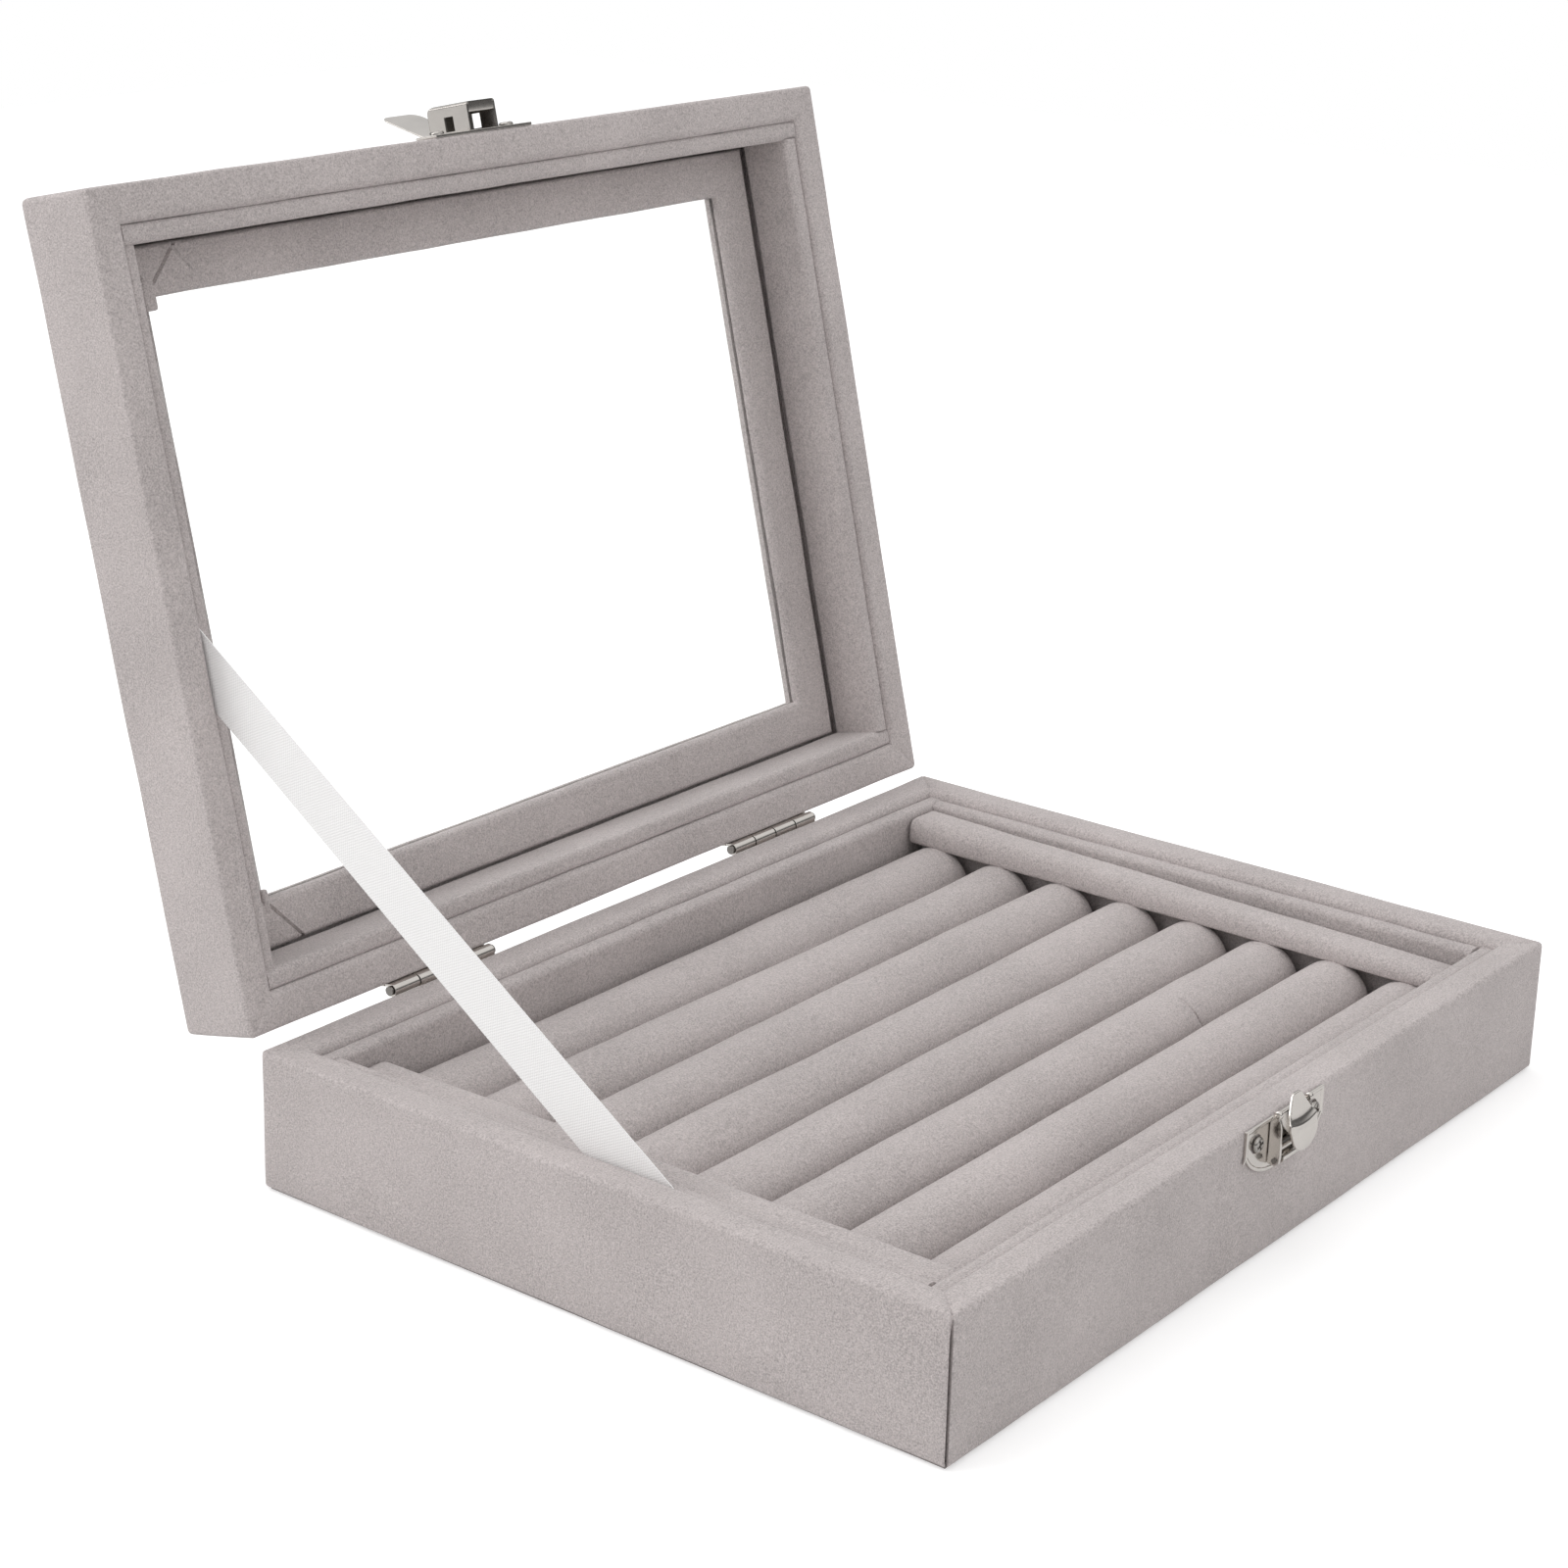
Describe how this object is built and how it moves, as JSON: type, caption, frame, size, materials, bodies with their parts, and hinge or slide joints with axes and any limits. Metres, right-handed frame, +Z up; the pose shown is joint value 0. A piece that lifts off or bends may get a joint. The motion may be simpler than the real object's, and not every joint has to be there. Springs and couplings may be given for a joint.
{
  "type": "ring display box",
  "caption": "Low velvet-covered jewellery case with rows of padded ring rolls, a hinged lid with a glass window, a ribbon stay and a press catch.",
  "frame": {"origin": "middle of the underside of the base, on the surface that it stands on", "axes": "+X along the hinge, to the right seen from the front; +Y from the catch to the hinge; +Z up. The lid is stored open, as pictured, leaning back 13.2 degrees past upright"},
  "size_m": [0.2, 0.2136, 0.1802],
  "materials": {
    "velvet_outside": "short warm-grey velvet wrapped over board",
    "velvet_lining": "short warm-grey velvet over padding",
    "velvet_padding": "short warm-grey velvet over foam",
    "card_cover": "matte flocked card",
    "board": "plain board",
    "satin_ribbon": "white satin",
    "clear_glass": "clear",
    "nickel_plate": "bright nickel plating",
    "screw_nickel": "bright nickel plating",
    "pin_steel": "plain steel wire"
  },
  "bodies": {
    "base": {"bottom_cover": "card_cover", "base_floor": "board", "base_front_wall": "velvet_outside", "base_right_wall": "velvet_outside", "base_back_wall": "velvet_outside", "base_left_wall": "velvet_outside", "base_front_liner": "velvet_lining", "base_right_liner": "velvet_lining", "base_back_liner": "velvet_lining", "base_left_liner": "velvet_lining", "tray_card": "card_cover", "ring_roll_1": "velvet_padding", "ring_roll_2": "velvet_padding", "ring_roll_3": "velvet_padding", "ring_roll_4": "velvet_padding", "ring_roll_5": "velvet_padding", "ring_roll_6": "velvet_padding", "ring_roll_7": "velvet_padding", "ring_roll_8": "velvet_padding", "left_end_bar": "velvet_padding", "right_end_bar": "velvet_padding", "left_hinge_base_leaf": "nickel_plate", "right_hinge_base_leaf": "nickel_plate", "left_hinge_pin": "pin_steel", "right_hinge_pin": "pin_steel", "base_hinge_screws": "screw_nickel", "catch_plate": "nickel_plate", "catch_pin": "pin_steel", "catch_spring": "pin_steel", "catch_screws": "screw_nickel", "ribbon_stay": "satin_ribbon"},
    "lid": {"lid_front_wall": "velvet_outside", "lid_right_wall": "velvet_outside", "lid_back_wall": "velvet_outside", "lid_left_wall": "velvet_outside", "lid_front_liner": "velvet_lining", "lid_right_liner": "velvet_lining", "lid_back_liner": "velvet_lining", "lid_left_liner": "velvet_lining", "outer_frame_front": "velvet_outside", "outer_frame_right": "velvet_outside", "outer_frame_back": "velvet_outside", "outer_frame_left": "velvet_outside", "inner_frame_front": "velvet_lining", "inner_frame_right": "velvet_lining", "inner_frame_back": "velvet_lining", "inner_frame_left": "velvet_lining", "glass_pane": "clear_glass", "left_hinge_lid_leaf": "nickel_plate", "right_hinge_lid_leaf": "nickel_plate", "lid_hinge_screws": "screw_nickel", "keeper_plate": "nickel_plate", "keeper_hook": "nickel_plate", "keeper_screws": "screw_nickel"},
    "catch_lever": {"catch_lever": "nickel_plate"}
  },
  "joints": [
    {"name": "lid_hinge", "type": "hinge", "parent": "base", "child": "lid", "pos_m": [0, 0.0763, 0.02715], "axis": [1, 0, 0], "range_deg": [0, 103.2], "deforming": ["ribbon_stay"]},
    {"name": "catch_press", "type": "hinge", "parent": "base", "child": "catch_lever", "pos_m": [0, -0.0769, 0.0193], "axis": [-1, 0, 0], "range_deg": [0, 6], "stiffness_Nm_per_rad": 0.05, "deforming": ["catch_spring"]}
  ]
}
